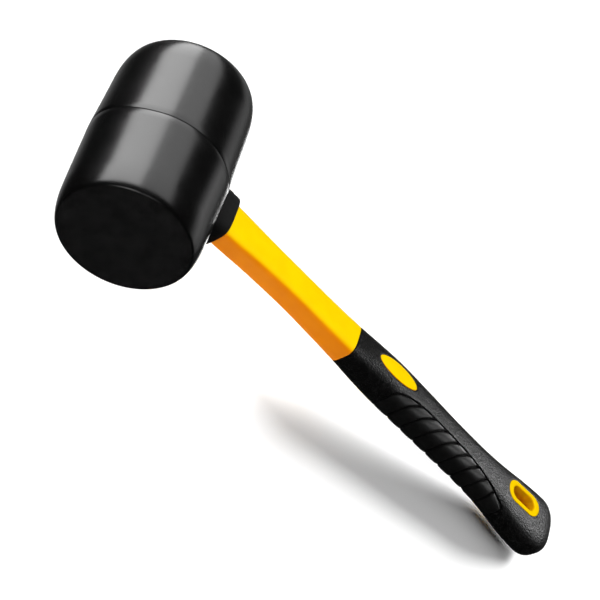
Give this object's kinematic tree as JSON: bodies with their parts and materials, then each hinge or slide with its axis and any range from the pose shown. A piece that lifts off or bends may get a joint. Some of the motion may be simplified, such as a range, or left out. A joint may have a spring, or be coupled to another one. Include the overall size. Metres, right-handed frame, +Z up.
{
  "type": "rubber mallet",
  "caption": "Rubber mallet lying at rest: black cylindrical rubber head across a yellow jacketed handle, with a black ribbed soft grip and a slotted hanging hole in the butt.",
  "frame": {"origin": "on the surface the mallet lies on, under the middle of its bounding box", "axes": "+X from the head towards the butt of the handle, +Y along the head's axis away from the finger pad's side, +Z up; the handle slopes down about 5 degrees towards +X, so that head and butt both touch the surface"},
  "size_m": [0.3274, 0.1016, 0.07],
  "materials": {
    "head_rubber": "satin moulded black rubber",
    "collar_rubber": "matte black rubber",
    "yellow_jacket": "satin yellow polypropylene",
    "fibreglass": "pultruded glass fibre and resin, hidden",
    "epoxy": "hardened amber adhesive, hidden",
    "grip_rubber": "fine-grained matte black soft grip",
    "pad_rubber": "smooth matte black ribbed pad"
  },
  "bodies": {
    "root": {"rubber_head": "head_rubber", "neck_collar": "collar_rubber", "handle_sleeve": "yellow_jacket", "core_rod": "fibreglass", "eye_bond": "epoxy", "grip_shell": "grip_rubber", "finger_pad": "pad_rubber"}
  },
  "joints": []
}
